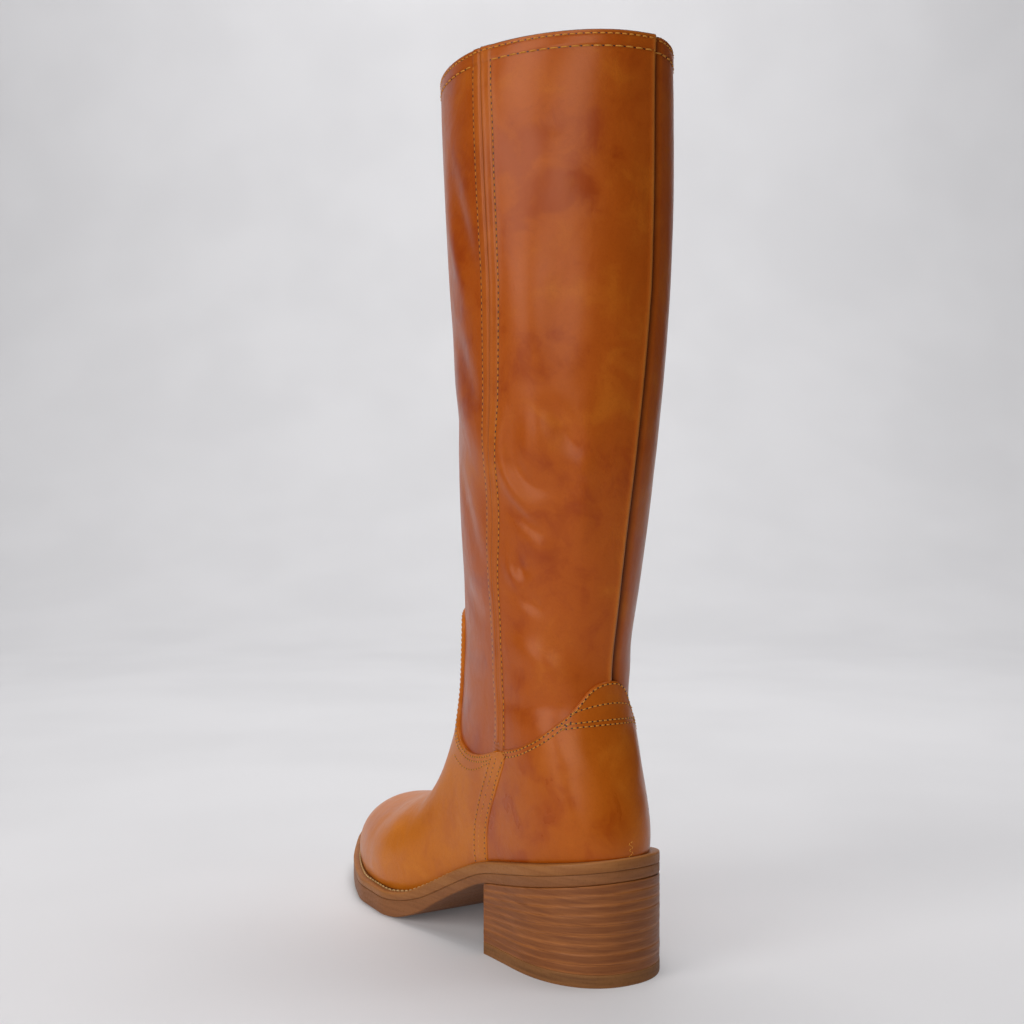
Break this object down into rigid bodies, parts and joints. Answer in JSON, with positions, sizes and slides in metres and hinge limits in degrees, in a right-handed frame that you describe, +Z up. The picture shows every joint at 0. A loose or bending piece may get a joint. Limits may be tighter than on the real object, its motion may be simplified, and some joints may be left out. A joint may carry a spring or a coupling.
{
  "type": "knee-high boot",
  "caption": "Left pull-on knee-high leather boot with vamp and heel counter overlays, welted sole and stacked block heel.",
  "frame": {"origin": "on the floor, under the middle of the boot's box", "axes": "+X towards the toe, +Y towards the outer side of the left foot, +Z up"},
  "size_m": [0.2652, 0.1042, 0.43],
  "materials": {
    "shaft_leather": "smooth glossy cognac leather",
    "foot_leather": "smooth glossy tan leather",
    "counter_leather": "smooth glossy cognac leather",
    "lining": "matt undyed lining leather",
    "welt": "satin edge-dressed welt",
    "outsole": "satin brown sole",
    "heel_stack": "polished stacked layers",
    "top_lift": "matt tan rubber"
  },
  "bodies": {
    "root": {"upper": "shaft_leather", "vamp": "foot_leather", "counter": "counter_leather", "insole": "lining", "welt": "welt", "outsole": "outsole", "heel_stack": "heel_stack", "top_lift": "top_lift"}
  },
  "joints": []
}
